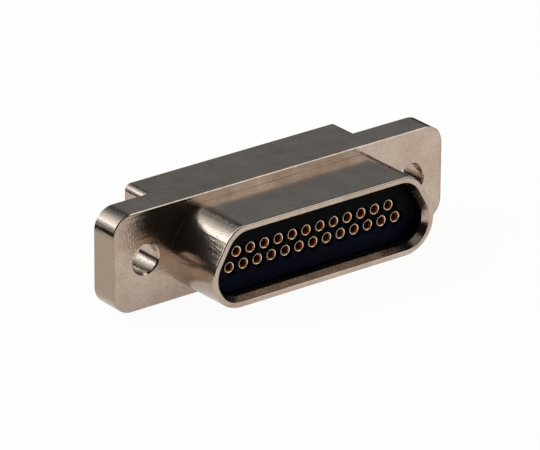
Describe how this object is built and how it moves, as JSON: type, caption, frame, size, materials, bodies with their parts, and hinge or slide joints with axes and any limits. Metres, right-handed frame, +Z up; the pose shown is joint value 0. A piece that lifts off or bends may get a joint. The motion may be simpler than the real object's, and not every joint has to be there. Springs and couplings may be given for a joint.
{
  "type": "micro-d connector",
  "caption": "Panel-mount micro-D socket connector: oblong metal flange with a fixing hole at each end, D-shaped mating shell in front and solder cups behind.",
  "frame": {"origin": "centre of the flange's front face, midway between the two fixing holes", "axes": "+X along the contact rows, -Y out of the mating face, +Z up, away from the wide side of the mating shell"},
  "size_m": [0.0304, 0.0134, 0.0076],
  "materials": {
    "shell": "electroless nickel plate, satin",
    "insulator": "moulded, near-black navy",
    "potting": "cast epoxy resin",
    "contact": "gold plate on copper alloy"
  },
  "bodies": {
    "root": {"shell": "shell", "front_insulator": "insulator", "rear_insulator": "insulator", "rear_potting": "potting", "socket_contact_01": "contact", "socket_contact_02": "contact", "socket_contact_03": "contact", "socket_contact_04": "contact", "socket_contact_05": "contact", "socket_contact_06": "contact", "socket_contact_07": "contact", "socket_contact_08": "contact", "socket_contact_09": "contact", "socket_contact_10": "contact", "socket_contact_11": "contact", "socket_contact_12": "contact", "socket_contact_13": "contact", "socket_contact_14": "contact", "socket_contact_15": "contact", "socket_contact_16": "contact", "socket_contact_17": "contact", "socket_contact_18": "contact", "socket_contact_19": "contact", "socket_contact_20": "contact", "socket_contact_21": "contact", "socket_contact_22": "contact", "socket_contact_23": "contact", "socket_contact_24": "contact", "socket_contact_25": "contact"}
  },
  "joints": []
}
